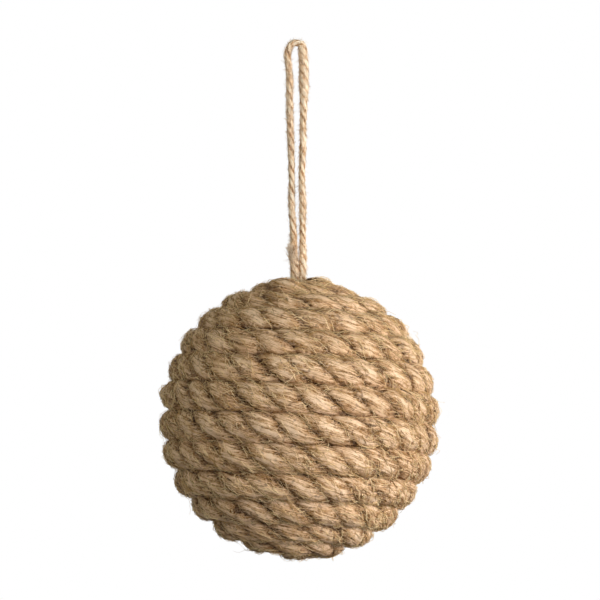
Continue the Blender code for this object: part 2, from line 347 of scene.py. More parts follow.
    # A strand fills its share of the rope's round, and is flat where it meets the next strand
    across = add(tree, MATH, {0: around}, operation="SINE")
    across = add(tree, MATH, {0: across, 1: offset}, operation="MULTIPLY")
    across = add(tree, MATH, {0: across, 1: across}, operation="MULTIPLY")
    half = add(tree, MATH, {0: rope, 1: 0.5, 2: lump}, operation="MULTIPLY_ADD")
    half = add(tree, MATH, {0: half, 1: half}, operation="MULTIPLY")
    reach = add(tree, MATH, {0: half, 1: across}, operation="SUBTRACT")
    reach = add(tree, MATH, {0: reach}, operation="SQRT")
    inner = add(tree, MATH, {0: crown, 1: offset}, operation="MULTIPLY")
    reach = add(tree, MATH, {0: reach, 1: inner}, operation="SUBTRACT")
    wedge = add(tree, MATH, {0: STRAND_SHARE * math.pi, 1: given["Strands"]}, operation="DIVIDE")
    flank = add(tree, MATH, {0: wedge}, operation="SINE")
    flank = add(tree, MATH, {0: flank, 1: offset}, operation="MULTIPLY")
    wedge = add(tree, MATH, {0: wedge, 1: math.pi / 2})
    turn = add(tree, MATH, {0: around}, operation="ABSOLUTE")
    turn = add(tree, MATH, {0: turn, 1: wedge}, operation="SUBTRACT")
    turn = add(tree, MATH, {0: turn}, operation="COSINE")
    turn = add(tree, MATH, {0: turn, 1: LEAST_SLANT}, operation="MAXIMUM")
    flank = add(tree, MATH, {0: flank, 1: turn}, operation="DIVIDE")
    puff = add(tree, MATH, {0: rope, 1: given["Roundness"]}, operation="MULTIPLY")
    puff = add(tree, MATH, {0: puff, 1: form.outputs["Z"], 2: lump}, operation="MULTIPLY_ADD")
    radius = add(tree, MATH, {0: reach, 1: puff, 2: offset}, operation="SMOOTH_MIN")
    radius = add(tree, MATH, {0: radius, 1: flank, 2: offset}, operation="SMOOTH_MIN")
    radius = add(tree, MATH, {0: radius, 1: open_part}, operation="MULTIPLY")
    middle = add(tree, VECTOR_MATH, {0: outward, 1: offset}, operation="MULTIPLY")
    swerve = add(tree, VECTOR_MATH, {0: spoke, 1: radius, 2: middle}, operation="MULTIPLY_ADD")

    # Pressed flat against the turns on both sides, and against the bed
    away = add(tree, VECTOR_MATH, {0: path.outputs["Position"], 1: given["Centre"]}, operation="SUBTRACT")
    away = add(tree, VECTOR_MATH, {0: away}, operation="NORMALIZE")
    side = add(tree, VECTOR_MATH, {0: path.outputs["Tangent"], 1: away}, operation="CROSS_PRODUCT")
    side = add(tree, VECTOR_MATH, {0: side}, operation="NORMALIZE")
    wide = add(tree, VECTOR_MATH, {0: swerve, 1: side}, operation="DOT_PRODUCT").outputs["Value"]
    narrow = add(tree, MATH, {0: wide}, operation="ABSOLUTE")
    narrow = add(
        tree, MATH, {0: narrow, 1: form.outputs["X"], 2: given["Softness"]}, operation="SMOOTH_MIN"
    )
    sign = add(tree, MATH, {0: wide}, operation="SIGN")
    narrow = add(tree, MATH, {0: narrow, 1: sign}, operation="MULTIPLY")
    narrow = add(tree, MATH, {0: narrow, 1: wide}, operation="SUBTRACT")
    pressed = add(tree, MATH, {0: narrow}, operation="ABSOLUTE")
    # Painted shade in the seams: the crown attribute, which sets the colour, is lowered by how far the
    # strand is pressed, except where its fibres are matted over
    seam_shade = add(
        tree,
        "ShaderNodeMapRange",
        {"Value": form.outputs["Z"], **dict(zip(RANGE, (1.0, 1.0 + MATTED_SHARE, PAINTED_SEAM_SHADE, 0.0)))},
    )
    pressed = add(tree, MATH, {0: pressed, 1: seam_shade}, operation="MULTIPLY")
    crown = add(tree, MATH, {0: crown, 1: pressed}, operation="SUBTRACT")
    deep = add(tree, VECTOR_MATH, {0: swerve, 1: away}, operation="DOT_PRODUCT").outputs["Value"]
    bed = add(tree, MATH, {0: given["Bed Depth"], 1: -1.0}, operation="MULTIPLY")
    shallow = add(tree, MATH, {0: deep, 1: bed, 2: given["Softness"]}, operation="SMOOTH_MAX")
    shallow = add(tree, MATH, {0: shallow, 1: deep}, operation="SUBTRACT")
    place = add(tree, VECTOR_MATH, {0: path.outputs["Position"], 1: swerve})
    place = add(tree, VECTOR_MATH, {0: side, 1: narrow, 2: place}, operation="MULTIPLY_ADD")
    place = add(tree, VECTOR_MATH, {0: away, 1: shallow, 2: place}, operation="MULTIPLY_ADD")

    for label, value in (("fibre", fibre), ("grain", heading)):
        made = add(
            tree,
            "GeometryNodeStoreNamedAttribute",
            {"Geometry": made, "Name": label, "Value": value},
            data_type="FLOAT_VECTOR",
        )
    made = add(tree, "GeometryNodeStoreNamedAttribute", {"Geometry": made, "Name": "crown", "Value": crown})
    made = add(tree, "GeometryNodeSetPosition", {"Geometry": made, "Position": place})
    made = add(tree, "GeometryNodeMergeByDistance", {"Geometry": made, "Distance": MERGED_WITHIN})
    made = add(tree, "GeometryNodeSetShadeSmooth", {"Geometry": made})
    made = add(tree, "GeometryNodeRealizeInstances", {"Geometry": made})
    made = add(tree, "GeometryNodeSetMaterial", {"Geometry": made, "Material": given["Finish"]})
    add(tree, "NodeGroupOutput", {0: made})
    return tree


# How loose fibres are strewn and formed: thicker growth in some places than in others, and
# each fibre with its own length, width and wave
GROWTH_SIZE = MM / 0.055  # 18 mm
GROWTH_RANGE = (0.35, 0.65, 0.4, 1.6)
OTHER_SEEDS = 100.0
LEAST_LENGTH = 0.5
WAVES_APART = 900.0
ROOT_WIDTH = 1.2
TAPER = 0.6
LEAST_WIDTH = 0.6
WIDTH_VARIES = 0.8
FIBRE_SIDES = 3


def fibre_tree():
    """Loose fibres rooted on a mesh, each a thin three-sided tube with closed ends.

    A fibre tied at both ends has Ties 1, and one whose tip stands free has Ties 0.5. Follow 1
    lays fibres over the whole form about the centre, and Follow 0 over the mesh itself. Spread
    0 lays them along the grain. Lift is how far they stand off, and Bow bends them down again
    over the form's own curve.
    """
    tree = new_tree(
        "loose fibres",
        Float=(
            "Least Facing", "Reach", "Density", "Length", "Spread", "Follow", "Lift", "Bow",
            "Curl", "Curl Size", "Ties", "Thickness",
        ),
        Int=("Points", "Seed"),
        Vector=("Centre",),
        Material=("Finish",),
    )
    given = add(tree, "NodeGroupInput").outputs

    # Roots on the faces that look away from the centre
    position = add(tree, "GeometryNodeInputPosition")
    away = add(tree, VECTOR_MATH, {0: position, 1: given["Centre"]}, operation="SUBTRACT")
    far = add(tree, VECTOR_MATH, {0: away}, operation="LENGTH").outputs["Value"]
    near = add(tree, MATH, {0: far, 1: given["Reach"]}, operation="LESS_THAN")
    away = add(tree, VECTOR_MATH, {0: away}, operation="NORMALIZE")
    normal = add(tree, "GeometryNodeInputNormal")
    facing = add(tree, VECTOR_MATH, {0: away, 1: normal}, operation="DOT_PRODUCT").outputs["Value"]
    chosen = add(tree, MATH, {0: facing, 1: given["Least Facing"]}, operation="GREATER_THAN")
    chosen = add(tree, MATH, {0: chosen, 1: near}, operation="MULTIPLY")
    bushy = add(tree, "ShaderNodeTexNoise", {"Vector": position, "Scale": 1 / GROWTH_SIZE, "Detail": 1.0})
    bushy = add(tree, "ShaderNodeMapRange", {"Value": bushy, **dict(zip(RANGE, GROWTH_RANGE))})
    bushy = add(tree, MATH, {0: bushy, 1: given["Density"]}, operation="MULTIPLY")
    roots = add(
        tree,
        "GeometryNodeDistributePointsOnFaces",
        {"Mesh": given["Geometry"], "Selection": chosen, "Density": bushy, "Seed": given["Seed"]},
    )
    up = add(
        tree, "ShaderNodeMix", {0: given["Follow"], 4: roots.outputs["Normal"], 5: away}, data_type="VECTOR"
    )
    up = add(tree, VECTOR_MATH, {0: up}, operation="NORMALIZE")
    chance = add(tree, "FunctionNodeRandomValue", {8: given["Seed"]}, data_type="FLOAT_VECTOR")
    other_seed = add(tree, MATH, {0: given["Seed"], 1: OTHER_SEEDS})
    lean = add(
        tree,
        "FunctionNodeRandomValue",
        {0: (-1.0, -1.0, -1.0), 1: (1.0, 1.0, 1.0), 8: other_seed},
        data_type="FLOAT_VECTOR",
    )
    made = roots
    for label, value in (("up", up), ("root", position), ("chance", chance), ("lean", lean)):
        made = add(
            tree,
            "GeometryNodeStoreNamedAttribute",
            {"Geometry": made, "Name": label, "Value": value},
            data_type="FLOAT_VECTOR",
        )
    line = add(tree, "GeometryNodeCurvePrimitiveLine")
    line = add(tree, "GeometryNodeResampleCurve", {"Curve": line, "Count": given["Points"]})
    made = add(tree, "GeometryNodeInstanceOnPoints", {"Points": made, "Instance": line})
    made = add(tree, "GeometryNodeRealizeInstances", {"Geometry": made})
    up, root, chance, lean, grain = (
        add(tree, "GeometryNodeInputNamedAttribute", {"Name": label}, data_type="FLOAT_VECTOR")
        for label in ("up", "root", "chance", "lean", "grain")
    )
    chances = add(tree, "ShaderNodeSeparateXYZ", {0: chance}).outputs

    # Direction over the surface, between the grain and a chance direction
    heading = add(tree, "ShaderNodeMix", {0: given["Spread"], 4: grain, 5: lean}, data_type="VECTOR")
    rising = add(tree, VECTOR_MATH, {0: heading, 1: up}, operation="DOT_PRODUCT").outputs["Value"]
    rising = add(tree, VECTOR_MATH, {0: up, "Scale": rising}, operation="SCALE")
    heading = add(tree, VECTOR_MATH, {0: heading, 1: rising}, operation="SUBTRACT")
    heading = add(tree, VECTOR_MATH, {0: heading}, operation="NORMALIZE")

    # Distance along the fibre, and height over the surface
    share = add(tree, "GeometryNodeSplineParameter").outputs["Factor"]
    long = add(tree, MATH, {0: chances["X"], 1: LEAST_LENGTH})
    long = add(tree, MATH, {0: long, 1: given["Length"]}, operation="MULTIPLY")
    start = add(tree, MATH, {0: given["Ties"], 1: 0.5}, operation="SUBTRACT")
    along = add(tree, MATH, {0: share, 1: start}, operation="SUBTRACT")
    along = add(tree, MATH, {0: along, 1: long}, operation="MULTIPLY")
    rise = add(tree, MATH, {0: share, 1: given["Ties"]}, operation="MULTIPLY")
    rise = add(tree, MATH, {0: rise, 1: math.pi}, operation="MULTIPLY")
    rise = add(tree, MATH, {0: rise}, operation="SINE")
    lift = add(tree, MATH, {0: chances["Y"], 1: given["Lift"]}, operation="MULTIPLY")
    lift = add(tree, MATH, {0: lift, 1: rise}, operation="MULTIPLY")
    bow = add(tree, MATH, {0: along, 1: along}, operation="MULTIPLY")
    bow = add(tree, MATH, {0: bow, 1: given["Bow"]}, operation="MULTIPLY")
    height = add(tree, MATH, {0: lift, 1: bow}, operation="SUBTRACT")

    # A wave of its own for each fibre
    wave = add(tree, VECTOR_MATH, {0: chance, "Scale": WAVES_APART}, operation="SCALE")
    waves = add(tree, MATH, {0: along, 1: given["Curl Size"]}, operation="DIVIDE")
    wave = add(tree, VECTOR_MATH, {0: heading, 1: waves, 2: wave}, operation="MULTIPLY_ADD")
    wave = add(tree, "ShaderNodeTexNoise", {"Vector": wave, "Scale": 1.0, "Detail": 1.0})
    wave = add(tree, VECTOR_MATH, {0: wave.outputs["Color"], 1: (0.5, 0.5, 0.5)}, operation="SUBTRACT")
    curl = add(tree, MATH, {0: rise, 1: given["Curl"]}, operation="MULTIPLY")
    place = add(tree, VECTOR_MATH, {0: heading, 1: along, 2: root}, operation="MULTIPLY_ADD")
    place = add(tree, VECTOR_MATH, {0: up, 1: height, 2: place}, operation="MULTIPLY_ADD")
    place = add(tree, VECTOR_MATH, {0: wave, 1: curl, 2: place}, operation="MULTIPLY_ADD")
    made = add(tree, "GeometryNodeSetPosition", {"Geometry": made, "Position": place})

    # Fibres taper to their tips, and some are thicker than others
    thin = add(tree, MATH, {0: share, 1: -TAPER, 2: ROOT_WIDTH}, operation="MULTIPLY_ADD")
    thick = add(tree, MATH, {0: chances["Z"], 1: WIDTH_VARIES, 2: LEAST_WIDTH}, operation="MULTIPLY_ADD")
    thick = add(tree, MATH, {0: thick, 1: thin}, operation="MULTIPLY")
    thick = add(tree, MATH, {0: thick, 1: given["Thickness"]}, operation="MULTIPLY")
    profile = add(tree, "GeometryNodeCurvePrimitiveCircle", {"Resolution": FIBRE_SIDES, "Radius": 0.5})
    made = add(
        tree,
        "GeometryNodeCurveToMesh",
        {"Curve": made, "Profile Curve": profile, "Scale": thick, "Fill Caps": True},
    )
    # The tone is the same chance as the lift, so fibres that stand off further are painted paler, as
    # painted light, and low ones darker, as painted shade
    made = add(
        tree, "GeometryNodeStoreNamedAttribute", {"Geometry": made, "Name": "tone", "Value": chances["Y"]}
    )
    made = add(tree, "GeometryNodeRealizeInstances", {"Geometry": made})
    made = add(tree, "GeometryNodeSetMaterial", {"Geometry": made, "Material": given["Finish"]})
    add(tree, "NodeGroupOutput", {0: made})
    return tree


LAID = laid_tree()
FIBRES = fibre_tree()


def smooth(route, steps):
    """Points read from a Catmull-Rom curve through the route's own points."""
    ends = [2 * route[0] - route[1]] + route + [2 * route[-1] - route[-2]]
    points = []
    for a, b, c, d in zip(ends, ends[1:], ends[2:], ends[3:]):
        for step in range(steps):
            t = step / steps
            line = 2 * b + (c - a) * t
            bend = (2 * a - 5 * b + 4 * c - d) * t**2 + (3 * b - a - 3 * c + d) * t**3
            points.append((line + bend) / 2)
    return points + [route[-1]]


def length_of(points):
    """The length of a line through points."""
    return sum((b - a).length for a, b in zip(points, points[1:]))


def line_mesh(name, points, form):
    """A line of edges. Each point has the room to each side and shares of width and roundness."""
    mesh = bpy.data.meshes.new(name)
    mesh.from_pydata(points, [(i, i + 1) for i in range(len(points) - 1)], [])
    stored = mesh.attributes.new("form", "FLOAT_VECTOR", "POINT")
    stored.data.foreach_set("vector", [part for parts in form for part in parts])
    return mesh


def new_material(name):
    """A material, its tree and its shader."""
    made = bpy.data.materials.new(name)
    made.use_nodes = True
    return made, made.node_tree, made.node_tree.nodes["Principled BSDF"]


# The jute's pattern: fibres that weave to and fro, others that curl across them and stains, with a
# painted highlight on the strands' crowns and painted shade in the grooves and pits. A hair is drawn
# 0.4 mm wide, some three times the real width, because finer ones don't show in the picture. A range
# is the ends of the noise, and then what they stand for.
HAIR_WIDTH = MM / 2.4  # 0.42 mm
HAIR_STRETCH = 0.12
HAIR_SHARE = 0.55
HAIR_HEIGHT = 0.4 * MM
YARN_WIDTH = 1.25 * MM
WEAVE_SIZE = MM / 0.33  # 3.0 mm
WEAVE_SHIFT = 1.0 * MM
CROWN_LIGHTER = 0.16
CROWN_OFFSET = -0.09
CURL_SIZES = (MM / 0.43, MM / 0.56, MM / 0.73)  # 2.3, 1.8 and 1.4 mm
CURLS_APART = 3.0
CURL_RANGE = (0.005, 0.035, 1.0, 0.0)
CURL_SHARE = 0.4
CURL_HEIGHT = 0.25
PIT_SIZE = MM / 0.52  # 1.9 mm
PIT_RANGE = (0.52, 0.62, 1.0, 0.5)
PIT_IN_GROOVE = 0.12
STAIN_SIZE = MM / 0.12  # 8.3 mm
STAIN_RANGE = (0.45, 0.75, 0.0, 0.55)
GROOVE_RANGE = (-0.7, 0.7, 0.0, 1.0)


def jute(name, dark, middle, pale, stain, deep):
    """Jute: long flat fibres, paler and darker by turns, dyed unevenly by retting.

    The fibres lie along the rope, so the pattern follows the strand's own attribute, which is
    in metres. Another gives how far out on the strand a place lies, up to 1 on its crown and
    lower where the strand is pressed at a seam. By it the colour gets a painted highlight on
    the crowns and painted shade in the grooves and seams.
    """
    made, tree, shader = new_material(name)
    fibre = add(tree, "ShaderNodeAttribute", attribute_name="fibre").outputs["Vector"]
    crown = add(tree, "ShaderNodeAttribute", attribute_name="crown").outputs["Fac"]
    place = add(tree, "ShaderNodeTexCoord").outputs["Object"]
    mat = add(tree, "ShaderNodeTexNoise", {"Vector": place, "Scale": 1 / WEAVE_SIZE, "Detail": 2.0})
    mat = add(tree, VECTOR_MATH, {0: mat.outputs["Color"], 1: (0.5, 0.5, 0.5)}, operation="SUBTRACT")
    fibre = add(
        tree,
        VECTOR_MATH,
        {0: mat, 1: (WEAVE_SHIFT, WEAVE_SHIFT, WEAVE_SHIFT), 2: fibre},
        operation="MULTIPLY_ADD",
    )
    fine = add(tree, VECTOR_MATH, {0: fibre, 1: (HAIR_STRETCH, 1.0, 1.0)}, operation="MULTIPLY")
    hair = add(tree, "ShaderNodeTexNoise", {"Vector": fine, "Scale": 1 / HAIR_WIDTH, "Detail": 3.0})
    yarn = add(tree, "ShaderNodeTexNoise", {"Vector": fine, "Scale": 1 / YARN_WIDTH, "Detail": 2.0})
    patch = add(tree, "ShaderNodeTexNoise", {"Vector": place, "Scale": 1 / STAIN_SIZE, "Detail": 3.0})
    mixed = add(tree, MATH, {0: hair, 1: HAIR_SHARE}, operation="MULTIPLY")
    mixed = add(tree, MATH, {0: yarn, 1: 1 - HAIR_SHARE, 2: mixed}, operation="MULTIPLY_ADD")
    # Painted light and shade: the tone is paler towards the strands' crowns, a painted highlight, and
    # darker towards their grooves
    crown_shaded = add(tree, MATH, {0: crown, 1: CROWN_LIGHTER, 2: CROWN_OFFSET}, operation="MULTIPLY_ADD")
    crown_shaded = add(tree, MATH, {0: crown_shaded, 1: mixed})
    tone = add(
        tree, "ShaderNodeValToRGB", {"Fac": crown_shaded}, stops=((0.39, dark), (0.50, middle), (0.62, pale))
    )

    # Fibres that curl across the others: thin pale curves where a noise passes its middle
    tangle = 0.0
    for layer, size in enumerate(CURL_SIZES):
        curve = add(
            tree,
            "ShaderNodeTexNoise",
            {"Vector": place, "W": CURLS_APART * layer, "Scale": 1 / size, "Detail": 1.0},
            noise_dimensions="4D",
        )
        curve = add(tree, MATH, {0: curve, 1: 0.5}, operation="SUBTRACT")
        curve = add(tree, MATH, {0: curve}, operation="ABSOLUTE")
        curve = add(tree, "ShaderNodeMapRange", {"Value": curve, **dict(zip(RANGE, CURL_RANGE))})
        tangle = add(tree, MATH, {0: tangle, 1: curve}, operation="MAXIMUM")
    crossed = add(tree, MATH, {0: tangle, 1: CURL_SHARE}, operation="MULTIPLY")
    tone = add(tree, "ShaderNodeMix", {0: crossed, 6: tone, 7: linear(pale)}, data_type="RGBA").outputs[2]
    mixed = add(tree, MATH, {0: tangle, 1: CURL_HEIGHT, 2: mixed}, operation="MULTIPLY_ADD")

    # Painted shade in pits where the fibres part, mostly down in the grooves
    pit = add(tree, "ShaderNodeTexNoise", {"Vector": place, "Scale": 1 / PIT_SIZE, "Detail": 1.0})
    pit = add(tree, MATH, {0: crown, 1: -PIT_IN_GROOVE, 2: pit}, operation="MULTIPLY_ADD")
    pit = add(tree, "ShaderNodeMapRange", {"Value": pit, **dict(zip(RANGE, PIT_RANGE))})
    stained = add(tree, "ShaderNodeMapRange", {"Value": patch, **dict(zip(RANGE, STAIN_RANGE))})
    darken = {"data_type": "RGBA", "blend_type": "MULTIPLY"}
    toned = add(tree, "ShaderNodeMix", {0: stained, 6: tone, 7: linear(stain)}, **darken).outputs[2]

    # Down in the grooves and pits the colour is multiplied by a dark, reddish brown as painted shade
    groove_shade = add(tree, "ShaderNodeMapRange", {"Value": crown, **dict(zip(RANGE, GROOVE_RANGE))})
    groove_shade = add(tree, MATH, {0: groove_shade, 1: pit}, operation="MULTIPLY")
    groove_shade = add(tree, MATH, {0: 1.0, 1: groove_shade}, operation="SUBTRACT")
    toned = add(tree, "ShaderNodeMix", {0: groove_shade, 6: toned, 7: linear(deep)}, **darken).outputs[2]
    bump = add(tree, "ShaderNodeBump", {"Height": mixed, "Distance": HAIR_HEIGHT, "Strength": 1.0})
    tree.links.new(toned, shader.inputs["Base Color"])
    tree.links.new(bump.outputs[0], shader.inputs["Normal"])
    shader.inputs["Roughness"].default_value = 0.8
    shader.inputs["Specular IOR Level"].default_value = 0.15
    return made


def loose_jute(name, dark, middle, pale):
    """Single jute fibres, each of one tone from brown to pale straw, which goes with how far it stands off:
    the proud ones get a painted highlight and the low ones painted shade.
    """
    made, tree, shader = new_material(name)
    tone = add(tree, "ShaderNodeAttribute", attribute_name="tone").outputs["Fac"]
    tone = add(tree, "ShaderNodeValToRGB", {"Fac": tone}, stops=((0.1, dark), (0.4, middle), (0.8, pale)))
    tree.links.new(tone.outputs[0], shader.inputs["Base Color"])
    shader.inputs["Roughness"].default_value = 0.65
    shader.inputs["Specular IOR Level"].default_value = 0.25
    return made


TWINE_JUTE = jute("plied jute twine", "AC845A", "F0D2AE", "FFF0D8", "F0DABA", "CC9C68")
TWINE_FIBRE = loose_jute("loose twine fibre", "9A744A", "E2C098", "FAE8D0")

left_neck, loop_route, right_neck = (
    [Vector(p) * MM for p in route] for route in (LEFT_NECK_MM, LOOP_ROUTE_MM, RIGHT_NECK_MM)
)
twine_line = smooth(left_neck + loop_route + right_neck, TWINE_STEPS)
LOOP_FROM = len(left_neck) * TWINE_STEPS
LOOP_TO = LOOP_FROM + (len(loop_route) - 1) * TWINE_STEPS
loop_start = length_of(twine_line[: LOOP_FROM + 1])
loop_end = length_of(twine_line[: LOOP_TO + 1])
twine_end = length_of(twine_line)


def twine_form(point):
    """The twine's room, its thickness and roundness.

    It is thicker on the right below the hook, and where it opens at its foot, mostly on the left.
    """
    top = math.exp(-(((point.z - TOP_THICK_HEIGHT) / TOP_THICK_REACH) ** 4))
    foot = math.exp(-(((point.z - FOOT_THICK_HEIGHT) / FOOT_THICK_REACH) ** 2))
    thicker = TOP_THICKER * top * min(1.0, max(0.0, point.x / MM))
    thicker += (LEFT_FOOT_THICKER if point.x < 0 else RIGHT_FOOT_THICKER) * foot
    return NO_LIMIT, TWINE_DRAWN * (1 + thicker), 1.0


def twine(name, line, start, end, rings):
    """A length of the twine, from one distance along a line to another."""
    return grown(
        name,
        line_mesh(name, line, [twine_form(p) for p in line]),
        LAID,
        {
            "Start": start,
            "End": end,
            "Strands": TWINE_YARNS,
            "First": 0,
            "Made": TWINE_YARNS,
            "Rope Diameter": TWINE_DIAMETER,
            "Roundness": TWINE_ROUNDNESS,
            "Lay": TWINE_LAY,
            "Ridge Width": 0.5 * MM,
            "Ridge Depth": 0.3 * MM,
            "Lump Depth": 0.4 * MM,
            "Sway": 0.3,
            "Bed Depth": NO_LIMIT,
            "Softness": 0.0,
            "Rings": rings,
            "Sides": 17,
            "Finish": TWINE_JUTE,
        },
    )


def loose_fibres(name, host, values):
    """Loose fibres on another piece."""
    return grown(name, host.data, FIBRES, {"Reach": NO_LIMIT, **values})


loop = twine("twine_loop", twine_line, loop_start, loop_end, LOOP_RINGS)
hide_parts("hanging_loop")
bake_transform(loop)
TWINE_FUZZ = {
    "Least Facing": -1.0,
    "Density": 1.7 / MM**2,
    "Length": 1.8 * MM,
    "Spread": 0.5,
    "Follow": 0.0,
    "Lift": 0.4 * MM,
    "Bow": 0.0,
    "Curl": 1.0 * MM,
    "Curl Size": 1.5 * MM,
    "Ties": 0.7,
    "Thickness": 0.12 * MM,
    "Points": 6,
    "Seed": 31,
    "Finish": TWINE_FIBRE,
}
loop_fuzz = loose_fibres("twine_loop_fuzz", loop, TWINE_FUZZ)
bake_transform(loop_fuzz)

# The neck: the same twine, where its two legs go down side by side into the ball. It is frayed
# on the left just above the rope.
NECK_RINGS = 100
FRAY_CENTRE = Vector((0.3, 0.7, -75.0)) * MM
neck = twine("twine_neck", twine_line, 0.0, loop_start, NECK_RINGS)
neck_fray = loose_fibres(
    "twine_neck_fray",
    neck,
    {
        **TWINE_FUZZ,
        "Centre": FRAY_CENTRE,
        "Reach": 4.2 * MM,
        "Least Facing": 0.5,
        "Density": 4.5 / MM**2,
        "Length": 4.0 * MM,
        "Follow": 0.3,
        "Lift": 1.0 * MM,
        "Curl": 1.6 * MM,
        "Ties": 0.75,
        "Points": 8,
        "Seed": 33,
    },
)
right_leg = twine("right_leg", twine_line, loop_end, twine_end, NECK_RINGS)
with bpy.context.temp_override(active_object=neck, selected_editable_objects=[neck, right_leg]):
    bpy.ops.object.join()
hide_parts("loop_neck")
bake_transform(neck)
neck_fuzz = loose_fibres("twine_neck_fuzz", neck, {**TWINE_FUZZ, "Seed": 32})
for piece in (neck_fuzz, neck_fray):
    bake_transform(piece)

# The tails: the same twine, straight down the hole in the foam on both sides of its middle, and
# tied there in an overhand knot that the glue holds. The knot is a trefoil, open where its two
# ends leave it.
TAIL_TOP = -88.4 * MM
TAIL_FOOT = BALL_CENTRE.z + 11.66 * MM
TAIL_OFFSET = 1.4 * MM
TAIL_RINGS = 60
KNOT_RADIUS = 5.0 * MM
KNOT_HEIGHT = 2.6 * MM
KNOT_STEPS = 120
KNOT_RINGS = 160
KNOT_FROM = 0.02
KNOT_SHARE = 0.9
knot_line = []
for i in range(KNOT_STEPS + 1):
    turn = math.tau * (KNOT_FROM + KNOT_SHARE * i / KNOT_STEPS)
    knot_x = KNOT_RADIUS / 3 * (math.sin(turn) + 2 * math.sin(2 * turn))
    knot_y = KNOT_RADIUS / 3 * (math.cos(turn) - 2 * math.cos(2 * turn))
    knot_line.append(Vector((knot_x, knot_y, TAIL_FOOT - KNOT_HEIGHT * math.sin(3 * turn))))
tail_lines = [[Vector((side * TAIL_OFFSET, 0, z)) for z in (TAIL_TOP, TAIL_FOOT)] for side in (-1, 1)]
tails = [
    twine(f"twine_tail_{i + 1}", line, 0.0, length_of(line), rings)
    for i, (line, rings) in enumerate(zip([knot_line, *tail_lines], (KNOT_RINGS, TAIL_RINGS, TAIL_RINGS)))
]
with bpy.context.temp_override(active_object=tails[0], selected_editable_objects=tails):
    bpy.ops.object.join()
tails[0].name = "twine_tails"
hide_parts("loop_tails")
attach(tails[0], "ball")

# The rope: three strands of jute laid up right-handed, wound round the foam in one left-handed
# spiral from the top down, and its cut ends pushed into the foam. It is 10 mm rope where the
# turns press on each other, and its diameter here is over the crowns of its loose strands.
ROPE_DIAMETER = 13.2 * MM
ROPE_STRANDS = 3
ROPE_LAY = 30.0 * MM
ROPE_ROUNDNESS = 0.33
ROPE_PRESS = 0.7 * MM
ROPE_SOFTNESS = 1.6 * MM
ROPE_SEAT = CORE_RADIUS + 3.95 * MM
ROPE_BED = 3.65 * MM
DRAWN_FROM = 3.5
DRAWN_OVER = 2.0
DRAWN_SHARE = 0.07
BENT_SHARE = 0.15
BENT_OVER = 1.0
MATTED_TO = 5.5
RUBBED_AT = 0.21
RUBBED_REACH = 0.13
RUBBED_SHARE = 0.85
PRESS_VARIES = 0.8 * MM
PRESSES_PER_TURN = 6.0
PRESS_NOISE = 5.0
# Where the rope rides up or sinks near the top: turns from its start, reach in turns, rise
TOP_RISES = ((0.16, 0.2, 1.5 * MM), (0.95, 0.065, 1.7 * MM), (1.23, 0.15, -1.0 * MM))
BOTTOM_RISE = 0.6 * MM
# The winding starts in front, and passes nearly level with the ball's middle on the right of
# its seventh turn. The route wanders a little, and its two tucked ends lean in to the middle.
TURNS = 12.61
TURNS_TO_SEVENTH = 6.25
SEVENTH_ANGLE = math.radians(86.05)
START_AZIMUTH = math.radians(-90.0)
START_PLAN_RADIUS = 5.6 * MM
START_LEAN = 0.6 * MM
END_PLAN_RADIUS = 6.4 * MM
END_LEAN = 5.8 * MM
TUCK_BEND = 4.5 * MM
LEG_LENGTH = 12.5 * MM
FIRST_TUCK_THICKNESS = 0.8
LAST_TUCK_THICKNESS = 1.1
POINTS_PER_TURN = 96
TUCK_POINTS = 24
WANDER = 0.35 * MM
WANDERS_PER_TURN = 2.0
SIDEWAYS_NOISE = Vector((0.0, 9.0, 0.0))

FIRST_ANGLE = math.asin(START_PLAN_RADIUS / ROPE_SEAT)
LAST_ANGLE = math.pi - math.asin(END_PLAN_RADIUS / ROPE_SEAT)


def polar_angle(turns):
    """Angle down from the top after some turns: a parabola through both ends and turn seven."""
    above = (SEVENTH_ANGLE - FIRST_ANGLE) / TURNS_TO_SEVENTH
    below = (LAST_ANGLE - SEVENTH_ANGLE) / (TURNS - TURNS_TO_SEVENTH)
    return FIRST_ANGLE + turns * (above + (below - above) * (turns - TURNS_TO_SEVENTH) / TURNS)


def on_ball(turns, lean=0.0):
    """A point of the rope's middle line over the core after some turns from the top."""
    wander = Vector((WANDERS_PER_TURN * turns, 0.0, 0.0))
    radius = ROPE_SEAT + WANDER * noise.noise(wander)
    down = polar_angle(turns) + WANDER / ROPE_SEAT * noise.noise(wander + SIDEWAYS_NOISE)
    for middle, reach, rise in TOP_RISES:
        radius += rise * math.exp(-(((turns - middle) / reach) ** 2))
    radius += BOTTOM_RISE * max(0.0, 1 - (TURNS - turns) / BENT_OVER)
    around = START_AZIMUTH + math.tau * turns
    plan = radius * math.sin(down) - lean
    side = Vector((plan * math.cos(around), plan * math.sin(around), radius * math.cos(down)))
    return BALL_CENTRE + side


def turn_form(turns):
    """The rope's room to each side, about half way to the next turn, its width and roundness.

    It is drawn thinner on the lower turns, and where it bends most at its start. Its fibres are
    matted over the strands on the upper turns, and rubbed so on its right.
    """
    half = ROPE_SEAT * (polar_angle(turns + 0.5) - polar_angle(turns - 0.5)) / 2
    press = ROPE_PRESS + PRESS_VARIES * noise.noise(Vector((PRESSES_PER_TURN * turns, PRESS_NOISE, 0.0)))
    drawn = min(1.0, max(0.0, (turns - DRAWN_FROM) / DRAWN_OVER))
    bent = max(0.0, 1 - turns / BENT_OVER)
    beside = math.exp(-(((turns % 1 - RUBBED_AT) / RUBBED_REACH) ** 2))
    matted = max(0.0, 1 - turns / MATTED_TO, RUBBED_SHARE * beside)
    width = 1.0 - DRAWN_SHARE * drawn - BENT_SHARE * bent
    return half + press, width, 1.0 + MATTED_SHARE * matted


